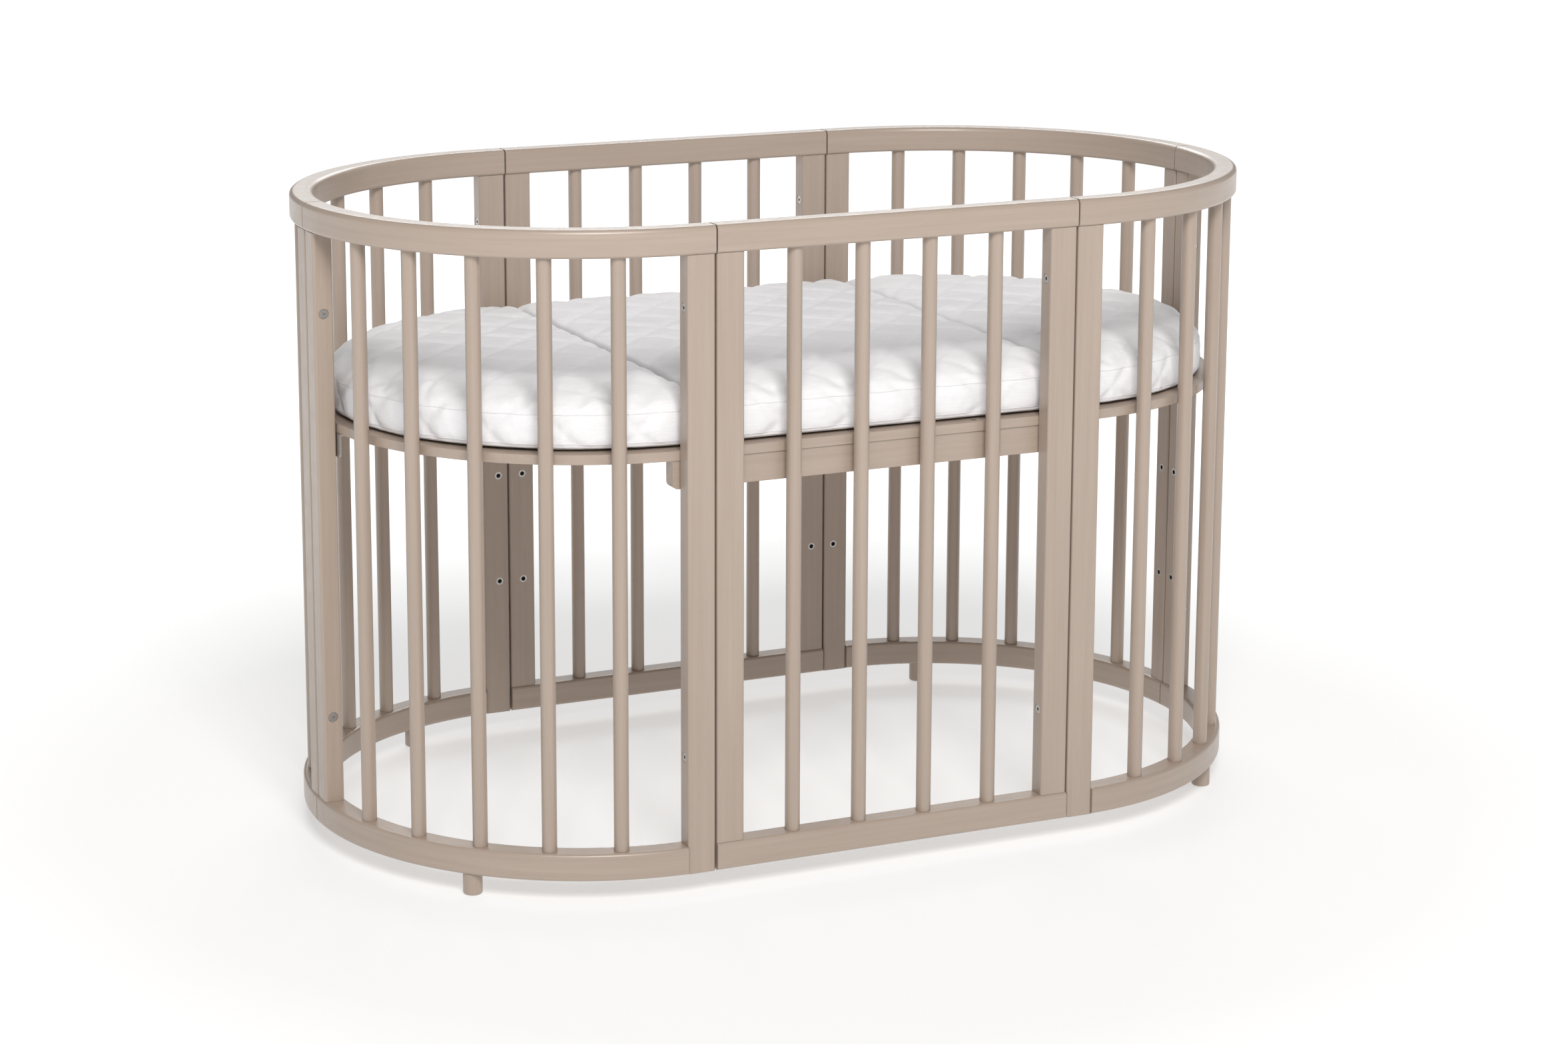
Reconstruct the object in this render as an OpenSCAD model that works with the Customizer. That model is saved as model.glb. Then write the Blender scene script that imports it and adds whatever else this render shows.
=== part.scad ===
// Oval baby crib: four curved quarter panels and two straight side panels, bolted
// together round a bolted mattress base, with a loose quilted mattress in three pieces.
// Millimetres, +Z up, X along the length, the front side at -Y, z = 0 on the floor.

/* [Overall] */
// Length over the outside of the rails
crib_length = 1270; // [1180:5:1560]
// Width over the outside of the rails, which also sets the end radius
crib_width = 740; // [640:5:860]
// Height of the frame, from the underside of the bottom rail to the top of the top rail
frame_height = 795; // [740:5:980]
// Height of the short feet under the bottom rail
foot_height = 28; // [15:1:60]
// Length of each straight side panel, seam to seam
side_panel_length = 486; // [420:2:500]

/* [Rails] */
// Depth of the rails, outside to inside
rail_depth = 30; // [28:1:38]
// Height of the rails
rail_height = 34; // [30:1:46]
// Rounding of the upper edges of the top rail
top_rail_rounding = 6; // [4:1:12]
// Rounding of the other rail edges
rail_rounding = 4; // [2:1:6]
// Open seam between neighbouring panels
panel_gap = 2; // [1:0.5:4]

/* [Posts] */
// Thickness of the flat posts
post_thickness = 25; // [22:1:28]
// Width of the posts at the long sides
side_post_width = 36; // [30:1:44]
// Width of the posts at the two ends
end_post_width = 30; // [26:1:40]
// Rounding of the long edges of the posts
post_rounding = 3; // [1:0.5:5]

/* [Spindles] */
// Diameter of the round spindles
spindle_d = 18.5; // [14:0.5:22]
// Number of spindles in a quarter panel
quarter_spindles = 5; // [3:1:6]
// Number of spindles in a straight side panel
side_spindles = 4; // [3:1:5]
// From the side seam to the first spindle of a quarter panel, along the rail
quarter_first_spindle = 115.5; // [90:0.5:130]
// From the seam to the first spindle of a side panel
side_first_spindle = 107.5; // [85:0.5:120]
// Diameter of the tenon at each spindle end
spindle_tenon_d = 12; // [8:0.5:14]
// Length of the tenon at each spindle end
spindle_tenon_length = 13; // [8:1:15]

/* [Mattress base] */
// Row of inserts that holds the base: 0 is the lowest and 2 the highest
base_level = 2; // [0:1:2]
// Height of the lowest row of inserts above the underside of the frame
insert_row_low = 190; // [150:1:200]
// Distance between the rows of inserts
insert_row_spacing = 151; // [110:1:155]
// Thickness of the base boards
base_board_thickness = 12; // [9:1:18]
// Height of the beams under the boards
beam_height = 35; // [30:1:45]
// Thickness of the beams
beam_thickness = 20; // [18:1:26]
// How far the outer face of each beam lies in from the edge of the boards
beam_recess = 1.5; // [0:0.5:3]
// How far each beam runs past the outer edge of the quarter panel posts
beam_overhang = 8; // [0:1:20]
// Length of the angle bracket at each end
bracket_length = 84; // [74:2:120]
// Height of the brackets
bracket_height = 30; // [28:1:40]
// How far the brackets reach in under the boards
bracket_depth = 28; // [24:1:40]
// Thickness of the brackets
bracket_thickness = 2.5; // [2:0.5:4]
// Diameter of the air holes in the base boards
air_hole_d = 26; // [12:1:34]
// Distance between the air holes
air_hole_pitch = 78; // [60:1:110]
// Gap between the base and the faces of the posts
base_clearance = 0.5; // [0.2:0.1:2]

/* [Mattress] */
// Thickness of the mattress over its cover
mattress_thickness = 70; // [50:1:90]
// Length of the middle piece of the mattress, between the two round ends
mattress_middle_length = 490; // [420:2:520]
// Gap between the pieces of the mattress
mattress_joint = 1; // [0.5:0.5:6]
// Gap between the mattress and the inside of the rails
mattress_clearance = 4; // [1:0.5:12]
// Rounding of the mattress edges
mattress_rounding = 20; // [8:1:24]
// Thickness of the quilted cover
cover_thickness = 3; // [2:0.5:5]

/* [Hardware] */
// Diameter of the connector heads
connector_head_d = 12; // [10:0.5:14]
// Height of the connector heads
connector_head_height = 4.5; // [3:0.5:6]
// Diameter of the machine screws in the connectors and the base
screw_d = 6; // [5:0.5:8]
// Outside diameter of the connector sleeve nuts
sleeve_d = 9; // [8:0.5:11]
// Length of the connector sleeve nuts without their heads
sleeve_length = 20; // [14:1:24]
// Height of the lower connectors above the underside of the frame
connector_low = 145; // [100:1:165]
// Depth of the upper connectors below the top, at the long sides
side_connector_drop = 98; // [70:1:140]
// Depth of the upper connectors below the top, at the two ends
end_connector_drop = 135; // [70:1:160]
// Outside diameter of the threaded inserts
insert_d = 10.5; // [9:0.5:12]
// Length of the threaded inserts
insert_length = 14; // [10:1:16]
// From the side seam to the inserts in the side panel posts
side_insert_offset = 20; // [16:0.5:24]
// From the side seam to the inserts in the quarter panel posts
quarter_insert_offset = 15; // [13:0.5:22]
// Diameter of the wooden dowels that hold the posts to the rails
dowel_d = 8; // [6:0.5:10]
// Length of the wooden dowels
dowel_length = 28; // [20:1:30]
// Diameter of the wood screws through the base boards
wood_screw_d = 4; // [3:0.5:5]
// Length of the wood screws
wood_screw_length = 38; // [30:1:40]

/* [Feet] */
// Diameter of the feet
foot_d = 24; // [16:1:26]
// Rounding of the lower edge of the feet
foot_rounding = 3; // [1:0.5:5]
// Diameter of the tenon on top of each foot
foot_tenon_d = 12; // [8:0.5:14]
// Length of the tenon on top of each foot
foot_tenon_length = 12; // [8:1:14]
// Angle of the front feet from the ends, round the end radius
front_foot_angle = 45; // [30:1:80]
// Angle of the back feet from the ends, round the end radius
back_foot_angle = 69; // [30:1:80]

/* [Fits] */
// Radial clearance of tenons, dowels, screws and inserts in their holes
fit_clearance = 0.05; // [0.02:0.01:0.1]
// Radial clearance of connectors and bolts in the holes that they pass through
bolt_clearance = 0.3; // [0.2:0.05:0.5]

/* [Hidden] */
$fn = 64;
eps = 0.01;

half_length = crib_length / 2;
half_width = crib_width / 2;
seam_x = side_panel_length / 2;
arc_x = half_length - half_width;            // centre of the end radius
mid_radius = half_width - rail_depth / 2;    // middle of the rail, round the end
mid_x = half_length - rail_depth / 2;        // middle of the rail, at the very end
stub = arc_x - seam_x;                       // straight part of a quarter panel
quarter_run = stub + mid_radius * PI / 2;    // middle line of a quarter panel
rail_z = foot_height;                        // underside of the bottom rail
post_z = rail_z + rail_height;               // top of the bottom rail
top_z = rail_z + frame_height - rail_height; // underside of the top rail
post_inset = (rail_depth - post_thickness) / 2;
inner_face = half_width - post_inset - post_thickness; // inside of the side posts
inner_end = half_length - post_inset - post_thickness; // inside of the end posts
joint_post_x = seam_x + panel_gap / 2;       // seam side of a quarter's joint post
joint_post_end = joint_post_x + side_post_width;
side_post_x = seam_x - panel_gap / 2 - side_post_width;
side_pitch = (side_panel_length - 2 * side_first_spindle) / (side_spindles - 1);
quarter_pitch = (quarter_run - 2 * quarter_first_spindle) / (quarter_spindles - 1);
bore_extra = 1;                              // depth left free beyond a tenon or dowel

insert_rows = [for (i = [0:2]) rail_z + insert_row_low + i * insert_row_spacing];
bolt_z = insert_rows[base_level];
beam_z = bolt_z - beam_height / 2;
board_z = beam_z + beam_height;
mattress_z = board_z + base_board_thickness;
base_inset = half_width - inner_face + base_clearance;
beam_face = half_width - base_inset - beam_recess;   // outer face of the beams
bracket_face = half_length - base_inset;             // outer face of the end brackets
beam_half = joint_post_end + beam_overhang;
end_insert_y = panel_gap / 2 + end_post_width / 2;
connector_low_z = rail_z + connector_low;
side_connector_z = rail_z + frame_height - side_connector_drop;
end_connector_z = rail_z + frame_height - end_connector_drop;
recess = connector_head_height + 0.5;
mattress_middle_end = (mattress_middle_length - mattress_joint) / 2;
mattress_end_start = (mattress_middle_length + mattress_joint) / 2;
core_slack = 0.3;                            // between the cover and its filling

wood = [0.75, 0.67, 0.60];
bare_wood = [0.86, 0.74, 0.56];
steel = [0.72, 0.72, 0.72];
foam = [0.93, 0.89, 0.77];
white = [0.95, 0.95, 0.96];

// ---------- Places ----------

// A point on the middle line of the back right quarter, by its run from the side seam
function quarter_point(run) =
    run < stub
    ? [seam_x + run, half_width - rail_depth / 2]
    : let (angle = (run - stub) / mid_radius * 180 / PI)
      [arc_x + mid_radius * sin(angle), mid_radius * cos(angle)];

// A point on the middle line, by its angle from the end
function arc_point(angle) = [arc_x + mid_radius * cos(angle), mid_radius * sin(angle)];

module at_quarter_spindles()
    for (i = [0:quarter_spindles - 1])
        translate(quarter_point(quarter_first_spindle + i * quarter_pitch))
            children();

module at_side_spindles()
    for (i = [0:side_spindles - 1])
        translate([(i - (side_spindles - 1) / 2) * side_pitch, half_width - rail_depth / 2])
            children();

// Every part is drawn at the back right and mirrored to its place
module place(x_side, y_side)
    mirror([x_side < 0 ? 1 : 0, 0, 0])
        mirror([0, y_side < 0 ? 1 : 0, 0])
            children();

module all_four()
    for (x_side = [-1, 1])
        for (y_side = [-1, 1])
            place(x_side, y_side)
                children();

// ---------- Shared shapes ----------

module rounded_rectangle(width, depth, r) {
    square([width - 2 * r, depth], center = true);
    square([width, depth - 2 * r], center = true);
    for (x = [-1, 1])
        for (y = [-1, 1])
            translate([x * (width / 2 - r), y * (depth / 2 - r)])
                circle(r);
}

// Section of a rail, standing on the X axis
module rail_section(upper_r) {
    lower_r = rail_rounding;
    translate([-rail_depth / 2, lower_r])
        square([rail_depth, rail_height - upper_r - lower_r]);
    translate([-rail_depth / 2 + upper_r, rail_height / 2])
        square([rail_depth - 2 * upper_r, rail_height / 2]);
    translate([-rail_depth / 2 + lower_r, 0])
        square([rail_depth - 2 * lower_r, rail_height / 2]);
    for (side = [-1, 1]) {
        translate([side * (rail_depth / 2 - upper_r), rail_height - upper_r])
            circle(upper_r);
        translate([side * (rail_depth / 2 - lower_r), lower_r])
            circle(lower_r);
    }
}

// Lays a section out along X, from 0 to the given length
module along_x(length)
    rotate([90, 0, 90])
        linear_extrude(length)
            children();

// The curved rail of the back right quarter, cut off square at the given x
module quarter_rail(start_x, upper_r)
    intersection() {
        union() {
            translate([arc_x, 0, 0])
                rotate_extrude(angle = 90, $fn = 256)
                    translate([mid_radius, 0])
                        rail_section(upper_r);
            if (start_x < arc_x)
                translate([0, half_width - rail_depth / 2, 0])
                    along_x(arc_x)
                        rail_section(upper_r);
        }
        translate([start_x, panel_gap / 2, -1])
            cube([crib_length, crib_width, rail_height + 2]);
    }

module hole(d, depth, clearance = fit_clearance)
    cylinder(r = d / 2 + clearance, h = depth);

// Holes for tenons or dowels that stand in a face: up from it, or down into it
module hole_up(d, depth)
    translate([0, 0, -eps])
        hole(d, depth + bore_extra + eps);

module hole_down(d, depth)
    mirror([0, 0, 1])
        hole_up(d, depth);

// The two dowels at one end of a post, side by side along its width
module dowel_pair(width, along_y = false)
    for (side = [-1, 1])
        translate(along_y ? [0, side * width / 4, 0] : [side * width / 4, 0, 0])
            children();

// Middle of each post of the back right quarter and of the back side panel
module at_joint_post()
    translate([joint_post_x + side_post_width / 2, half_width - rail_depth / 2, 0])
        children();

module at_end_post()
    translate([mid_x, panel_gap / 2 + end_post_width / 2, 0])
        children();

module at_side_post()
    translate([side_post_x + side_post_width / 2, half_width - rail_depth / 2, 0])
        children();

// The pair of dowels between the joint post and the end of the curved bottom rail
module at_butt_dowels()
    for (z = [0.3, 0.7])
        translate([joint_post_end, half_width - rail_depth / 2, rail_z + z * rail_height])
            rotate([0, 90, 0])
                children();

// The axes of the connectors, from the bolt's face to the nut's, along +Z of the child
module at_side_connectors()
    for (z = [connector_low_z, side_connector_z])
        translate([joint_post_end, half_width - rail_depth / 2, z])
            rotate([0, -90, 0])
                children();

module at_end_connectors()
    for (z = [connector_low_z, end_connector_z])
        translate([mid_x, -panel_gap / 2 - end_post_width, z])
            rotate([-90, 0, 0])
                children();

side_grip = 2 * side_post_width + panel_gap;
end_grip = 2 * end_post_width + panel_gap;

// What the bolt half and the nut half of a connector cut out of their posts
module bolt_bore(grip)
    union() {
        translate([0, 0, -1])
            cylinder(r = connector_head_d / 2 + bolt_clearance, h = recess + 1);
        cylinder(r = screw_d / 2 + bolt_clearance, h = grip / 2);
    }

module nut_bore(grip)
    translate([0, 0, grip])
        mirror([0, 0, 1])
            union() {
                translate([0, 0, -1])
                    cylinder(r = connector_head_d / 2 + bolt_clearance, h = recess + 1);
                cylinder(r = sleeve_d / 2 + bolt_clearance, h = grip / 2);
            }

module hex_socket()
    translate([0, 0, -eps])
        cylinder(r = screw_d * 0.38, h = connector_head_height * 0.6, $fn = 6);

module connector_bolt(grip)
    difference() {
        union() {
            translate([0, 0, recess - connector_head_height])
                cylinder(d = connector_head_d, h = connector_head_height);
            translate([0, 0, recess - 1])
                cylinder(d = screw_d, h = grip - 2 * recess - 2);
        }
        translate([0, 0, recess - connector_head_height])
            hex_socket();
    }

module connector_nut(grip)
    translate([0, 0, grip])
        mirror([0, 0, 1])
            difference() {
                union() {
                    translate([0, 0, recess - connector_head_height])
                        cylinder(d = connector_head_d, h = connector_head_height);
                    translate([0, 0, recess - 1])
                        cylinder(d = sleeve_d, h = sleeve_length + 1);
                }
                translate([0, 0, recess])
                    hole(screw_d, sleeve_length + 1);
                translate([0, 0, recess - connector_head_height])
                    hex_socket();
            }

// The inserts of one post: along +Z of the child, into the post from its inner face
module at_joint_inserts(rows)
    for (z = rows)
        translate([seam_x + quarter_insert_offset, inner_face, z])
            rotate([-90, 0, 0])
                children();

module at_side_inserts(rows)
    for (z = rows)
        translate([seam_x - side_insert_offset, inner_face, z])
            rotate([-90, 0, 0])
                children();

module at_end_inserts(rows)
    for (z = rows)
        translate([inner_end, end_insert_y, z])
            rotate([0, 90, 0])
                children();

module insert()
    difference() {
        cylinder(d = insert_d, h = insert_length);
        translate([0, 0, -1])
            hole(screw_d, insert_length + 2);
    }

module post(width, depth, bottom, top)
    translate([0, 0, bottom])
        linear_extrude(top - bottom)
            rounded_rectangle(width, depth, post_rounding);

// ---------- Quarter panels, drawn at the back right ----------

module quarter_top_rail()
    color(wood)
        difference() {
            translate([0, 0, top_z])
                quarter_rail(joint_post_x, top_rail_rounding);
            translate([0, 0, top_z]) {
                at_quarter_spindles()
                    hole_up(spindle_tenon_d, spindle_tenon_length);
                at_joint_post()
                    dowel_pair(side_post_width)
                        hole_up(dowel_d, dowel_length / 2);
                at_end_post()
                    dowel_pair(end_post_width, true)
                        hole_up(dowel_d, dowel_length / 2);
            }
        }

module quarter_bottom_rail(foot_angle)
    color(wood)
        difference() {
            translate([0, 0, rail_z])
                quarter_rail(joint_post_end, rail_rounding);
            translate([0, 0, post_z]) {
                at_quarter_spindles()
                    hole_down(spindle_tenon_d, spindle_tenon_length);
                at_end_post()
                    dowel_pair(end_post_width, true)
                        hole_down(dowel_d, dowel_length / 2);
            }
            translate([0, 0, rail_z])
                translate(arc_point(foot_angle))
                    hole_up(foot_tenon_d, foot_tenon_length);
            at_butt_dowels()
                hole_up(dowel_d, dowel_length / 2);
        }

module joint_post()
    color(wood)
        difference() {
            at_joint_post()
                post(side_post_width, post_thickness, rail_z, top_z);
            translate([0, 0, top_z])
                at_joint_post()
                    dowel_pair(side_post_width)
                        hole_down(dowel_d, dowel_length / 2);
            at_butt_dowels()
                hole_down(dowel_d, dowel_length / 2);
            at_side_connectors()
                bolt_bore(side_grip);
            at_joint_inserts(insert_rows)
                hole_up(insert_d, insert_length);
        }

// The bolts of the end joints go in at the front, so the back post holds the nuts
module end_post(holds_nuts)
    color(wood)
        difference() {
            at_end_post()
                post(post_thickness, end_post_width, post_z, top_z);
            translate([0, 0, top_z])
                at_end_post()
                    dowel_pair(end_post_width, true)
                        hole_down(dowel_d, dowel_length / 2);
            translate([0, 0, post_z])
                at_end_post()
                    dowel_pair(end_post_width, true)
                        hole_up(dowel_d, dowel_length / 2);
            if (holds_nuts)
                at_end_connectors()
                    nut_bore(end_grip);
            else
                mirror([0, 1, 0])
                    at_end_connectors()
                        bolt_bore(end_grip);
            at_end_inserts(insert_rows)
                hole_up(insert_d, insert_length);
        }

module spindle() {
    translate([0, 0, post_z])
        cylinder(d = spindle_d, h = top_z - post_z);
    translate([0, 0, post_z - spindle_tenon_length])
        cylinder(d = spindle_tenon_d, h = top_z - post_z + 2 * spindle_tenon_length);
}

module quarter_spindle_set()
    color(wood)
        at_quarter_spindles()
            spindle();

// ---------- Side panels, drawn at the back ----------

module side_rail(z, upper_r)
    translate([-seam_x + panel_gap / 2, half_width - rail_depth / 2, z])
        along_x(side_panel_length - panel_gap)
            rail_section(upper_r);

module side_top_rail()
    color(wood)
        difference() {
            side_rail(top_z, top_rail_rounding);
            translate([0, 0, top_z]) {
                at_side_spindles()
                    hole_up(spindle_tenon_d, spindle_tenon_length);
                for (x_side = [-1, 1])
                    place(x_side, 1)
                        at_side_post()
                            dowel_pair(side_post_width)
                                hole_up(dowel_d, dowel_length / 2);
            }
        }

module side_bottom_rail()
    color(wood)
        difference() {
            side_rail(rail_z, rail_rounding);
            translate([0, 0, post_z]) {
                at_side_spindles()
                    hole_down(spindle_tenon_d, spindle_tenon_length);
                for (x_side = [-1, 1])
                    place(x_side, 1)
                        at_side_post()
                            dowel_pair(side_post_width)
                                hole_down(dowel_d, dowel_length / 2);
            }
        }

module side_post()
    color(wood)
        difference() {
            at_side_post()
                post(side_post_width, post_thickness, post_z, top_z);
            translate([0, 0, top_z])
                at_side_post()
                    dowel_pair(side_post_width)
                        hole_down(dowel_d, dowel_length / 2);
            translate([0, 0, post_z])
                at_side_post()
                    dowel_pair(side_post_width)
                        hole_up(dowel_d, dowel_length / 2);
            at_side_connectors()
                nut_bore(side_grip);
            at_side_inserts(insert_rows)
                hole_up(insert_d, insert_length);
        }

module side_spindle_set()
    color(wood)
        at_side_spindles()
            spindle();

// ---------- Mattress base ----------

module oval(inset) {
    square([2 * arc_x, crib_width - 2 * inset], center = true);
    for (side = [-1, 1])
        translate([side * arc_x, 0])
            circle(r = half_width - inset, $fn = 256);
}

// Wood screws go down through the boards into the beams, and short ones up through the brackets
beam_screw_y = beam_face - beam_thickness / 2;
bracket_screw_x = bracket_face - bracket_depth * 0.6;
bracket_screw_reach = base_board_thickness - 3;
end_board_screw_x = (seam_x + beam_half) / 2;
centre_board_screw_x = seam_x / 2;

module at_beam_screws()
    for (x = [centre_board_screw_x, end_board_screw_x])
        for (x_side = [-1, 1])
            translate([x_side * x, beam_screw_y, mattress_z])
                children();

module at_all_beam_screws()
    for (y_side = [-1, 1])
        place(1, y_side)
            at_beam_screws()
                children();

module at_bracket_screws()
    for (side = [-1, 1])
        translate([bracket_screw_x, side * bracket_length / 3, board_z - bracket_thickness])
            children();

module at_all_bracket_screws()
    for (x_side = [-1, 1])
        place(x_side, 1)
            at_bracket_screws()
                children();

// Countersunk screw, its head flush with z = 0
module wood_screw(clearance)
    mirror([0, 0, 1]) {
        cylinder(r = wood_screw_d / 2 + clearance, h = wood_screw_length);
        cylinder(r1 = wood_screw_d + clearance, r2 = wood_screw_d / 2 + clearance,
                 h = wood_screw_d / 2);
    }

// Short screw from below, its domed head under z = 0
module bracket_screw(clearance)
    union() {
        cylinder(r = wood_screw_d / 2 + clearance, h = bracket_thickness + bracket_screw_reach);
        mirror([0, 0, 1])
            cylinder(r1 = wood_screw_d, r2 = wood_screw_d * 0.7, h = wood_screw_d / 2);
    }

air_columns = floor((half_length - base_inset - 40) / air_hole_pitch);
air_rows = floor((beam_face - beam_thickness - air_hole_d) / air_hole_pitch);
seam_land = air_hole_d / 2 + 8;              // no hole nearer a board's seam than this
edge_land = air_hole_d / 2 + beam_thickness + 12;

function over_board(x, y) =
    abs(abs(x) - seam_x) > seam_land
    && abs(y) < half_width - base_inset - edge_land
    && (abs(x) < arc_x
        || norm([abs(x) - arc_x, y]) < half_width - base_inset - edge_land);

module air_holes()
    for (i = [-air_columns:air_columns])
        for (j = [-air_rows:air_rows])
            if (over_board(i * air_hole_pitch, j * air_hole_pitch))
                translate([i * air_hole_pitch, j * air_hole_pitch, board_z - 1])
                    cylinder(d = air_hole_d, h = base_board_thickness + 2, $fn = 32);

module base_board(from_x, to_x)
    color(wood)
        difference() {
            intersection() {
                translate([0, 0, board_z])
                    linear_extrude(base_board_thickness)
                        oval(base_inset);
                translate([from_x, -crib_width, board_z - 1])
                    cube([to_x - from_x, 2 * crib_width, base_board_thickness + 2]);
            }
            air_holes();
            at_all_beam_screws()
                wood_screw(fit_clearance);
            at_all_bracket_screws()
                cylinder(r = wood_screw_d / 2 + fit_clearance,
                         h = bracket_thickness + bracket_screw_reach);
        }

module end_board()
    base_board(seam_x + panel_gap / 4, half_length);

module centre_board()
    base_board(-seam_x + panel_gap / 4, seam_x - panel_gap / 4);

// Both beams, drawn at the back, with rounded lower corners
module base_beam()
    color(wood)
        difference() {
            translate([0, beam_face, beam_z])
                rotate([90, 0, 0])
                    linear_extrude(beam_thickness)
                        beam_outline(2 * beam_half, beam_height);
            for (x_side = [-1, 1])
                place(x_side, 1) {
                    at_joint_inserts([bolt_z])
                        bolt_hole(beam_thickness, beam_gap);
                    at_side_inserts([bolt_z])
                        bolt_hole(beam_thickness, beam_gap);
                }
            at_beam_screws()
                wood_screw(fit_clearance);
        }

module beam_outline(length, height) {
    corner = 7;
    translate([-length / 2, corner])
        square([length, height - corner]);
    translate([-length / 2 + corner, 0])
        square([length - 2 * corner, height / 2]);
    for (side = [-1, 1])
        translate([side * (length / 2 - corner), corner])
            circle(corner);
}

// A steel angle under each end board: one flange upright against the posts, one under the board
module end_bracket()
    color(steel)
        difference() {
            union() {
                translate([bracket_face - bracket_thickness, 0, board_z - bracket_height])
                    rotate([90, 0, 90])
                        linear_extrude(bracket_thickness)
                            beam_outline(bracket_length, bracket_height);
                translate([bracket_face - bracket_depth, -bracket_length / 2,
                           board_z - bracket_thickness])
                    cube([bracket_depth, bracket_length, bracket_thickness]);
            }
            for (y_side = [-1, 1])
                place(1, y_side)
                    at_end_inserts([bolt_z])
                        bolt_hole(bracket_thickness, base_clearance);
            at_bracket_screws()
                translate([0, 0, -1])
                    cylinder(r = wood_screw_d / 2 + fit_clearance, h = bracket_thickness + 2);
        }

// The bolts of the base point out through a beam or bracket towards the inserts. They end
// flush with its outer face, so that the base can slide past the posts.
beam_gap = base_clearance + beam_recess;     // between the beams and the posts

module bolt_hole(thickness, gap)
    translate([0, 0, -thickness - gap - 1])
        cylinder(r = screw_d / 2 + bolt_clearance, h = thickness + gap + 2);

module base_bolt(thickness, gap)
    translate([0, 0, -thickness - gap])
        difference() {
            union() {
                translate([0, 0, -connector_head_height])
                    cylinder(d = connector_head_d, h = connector_head_height);
                translate([0, 0, -1])
                    cylinder(d = screw_d, h = thickness + 1);
            }
            translate([0, 0, -connector_head_height])
                hex_socket();
        }

// ---------- Mattress ----------

module mattress_section(inset) {
    width = crib_width - 2 * (rail_depth + mattress_clearance + inset);
    height = mattress_thickness - 2 * inset;
    translate([0, mattress_thickness / 2])
        rounded_rectangle(width, height, mattress_rounding - inset);
}

module mattress_form(inset)
    translate([0, 0, mattress_z]) {
        translate([-arc_x, 0, 0])
            along_x(2 * arc_x)
                mattress_section(inset);
        for (side = [-1, 1])
            translate([side * arc_x, 0, 0])
                rotate_extrude($fn = 256)
                    intersection() {
                        mattress_section(inset);
                        square([half_width, mattress_thickness]);
                    }
    }

// The stretch of the mattress between two planes, pulled in all round by the inset
module mattress_slice(from_x, to_x, inset)
    intersection() {
        mattress_form(inset);
        translate([from_x + inset, -half_width, mattress_z])
            cube([to_x - from_x - 2 * inset, crib_width, mattress_thickness]);
    }

module mattress_shell(from_x, to_x)
    color(white)
        difference() {
            mattress_slice(from_x, to_x, 0);
            mattress_slice(from_x, to_x, cover_thickness);
        }

module mattress_filling(from_x, to_x)
    color(foam)
        mattress_slice(from_x, to_x, cover_thickness + core_slack);

// ---------- One module for each part ----------

module front_left_top_rail() place(-1, -1) quarter_top_rail();
module front_right_top_rail() place(1, -1) quarter_top_rail();
module back_left_top_rail() place(-1, 1) quarter_top_rail();
module back_right_top_rail() place(1, 1) quarter_top_rail();

module front_left_bottom_rail() place(-1, -1) quarter_bottom_rail(front_foot_angle);
module front_right_bottom_rail() place(1, -1) quarter_bottom_rail(front_foot_angle);
module back_left_bottom_rail() place(-1, 1) quarter_bottom_rail(back_foot_angle);
module back_right_bottom_rail() place(1, 1) quarter_bottom_rail(back_foot_angle);

module front_left_joint_post() place(-1, -1) joint_post();
module front_right_joint_post() place(1, -1) joint_post();
module back_left_joint_post() place(-1, 1) joint_post();
module back_right_joint_post() place(1, 1) joint_post();

module front_left_end_post() place(-1, -1) end_post(false);
module front_right_end_post() place(1, -1) end_post(false);
module back_left_end_post() place(-1, 1) end_post(true);
module back_right_end_post() place(1, 1) end_post(true);

module front_left_spindles() place(-1, -1) quarter_spindle_set();
module front_right_spindles() place(1, -1) quarter_spindle_set();
module back_left_spindles() place(-1, 1) quarter_spindle_set();
module back_right_spindles() place(1, 1) quarter_spindle_set();

module front_side_top_rail() place(1, -1) side_top_rail();
module back_side_top_rail() place(1, 1) side_top_rail();
module front_side_bottom_rail() place(1, -1) side_bottom_rail();
module back_side_bottom_rail() place(1, 1) side_bottom_rail();

module front_side_left_post() place(-1, -1) side_post();
module front_side_right_post() place(1, -1) side_post();
module back_side_left_post() place(-1, 1) side_post();
module back_side_right_post() place(1, 1) side_post();

module front_side_spindles() place(1, -1) side_spindle_set();
module back_side_spindles() place(1, 1) side_spindle_set();

module left_base_board() place(-1, 1) end_board();
module centre_base_board() centre_board();
module right_base_board() place(1, 1) end_board();

module front_base_beam() place(1, -1) base_beam();
module back_base_beam() place(1, 1) base_beam();
module left_end_bracket() place(-1, 1) end_bracket();
module right_end_bracket() place(1, 1) end_bracket();

module base_bolts()
    color(steel)
        all_four() {
            at_joint_inserts([bolt_z])
                base_bolt(beam_thickness, beam_gap);
            at_side_inserts([bolt_z])
                base_bolt(beam_thickness, beam_gap);
            at_end_inserts([bolt_z])
                base_bolt(bracket_thickness, base_clearance);
        }

module base_screws()
    color(steel) {
        at_all_beam_screws()
            wood_screw(0);
        at_all_bracket_screws()
            bracket_screw(0);
    }

module side_post_inserts()
    color(steel)
        all_four() {
            at_joint_inserts(insert_rows)
                insert();
            at_side_inserts(insert_rows)
                insert();
        }

module end_post_inserts()
    color(steel)
        all_four()
            at_end_inserts(insert_rows)
                insert();

module connector_bolts()
    color(steel) {
        all_four()
            at_side_connectors()
                connector_bolt(side_grip);
        for (x_side = [-1, 1])
            place(x_side, 1)
                at_end_connectors()
                    connector_bolt(end_grip);
    }

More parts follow.
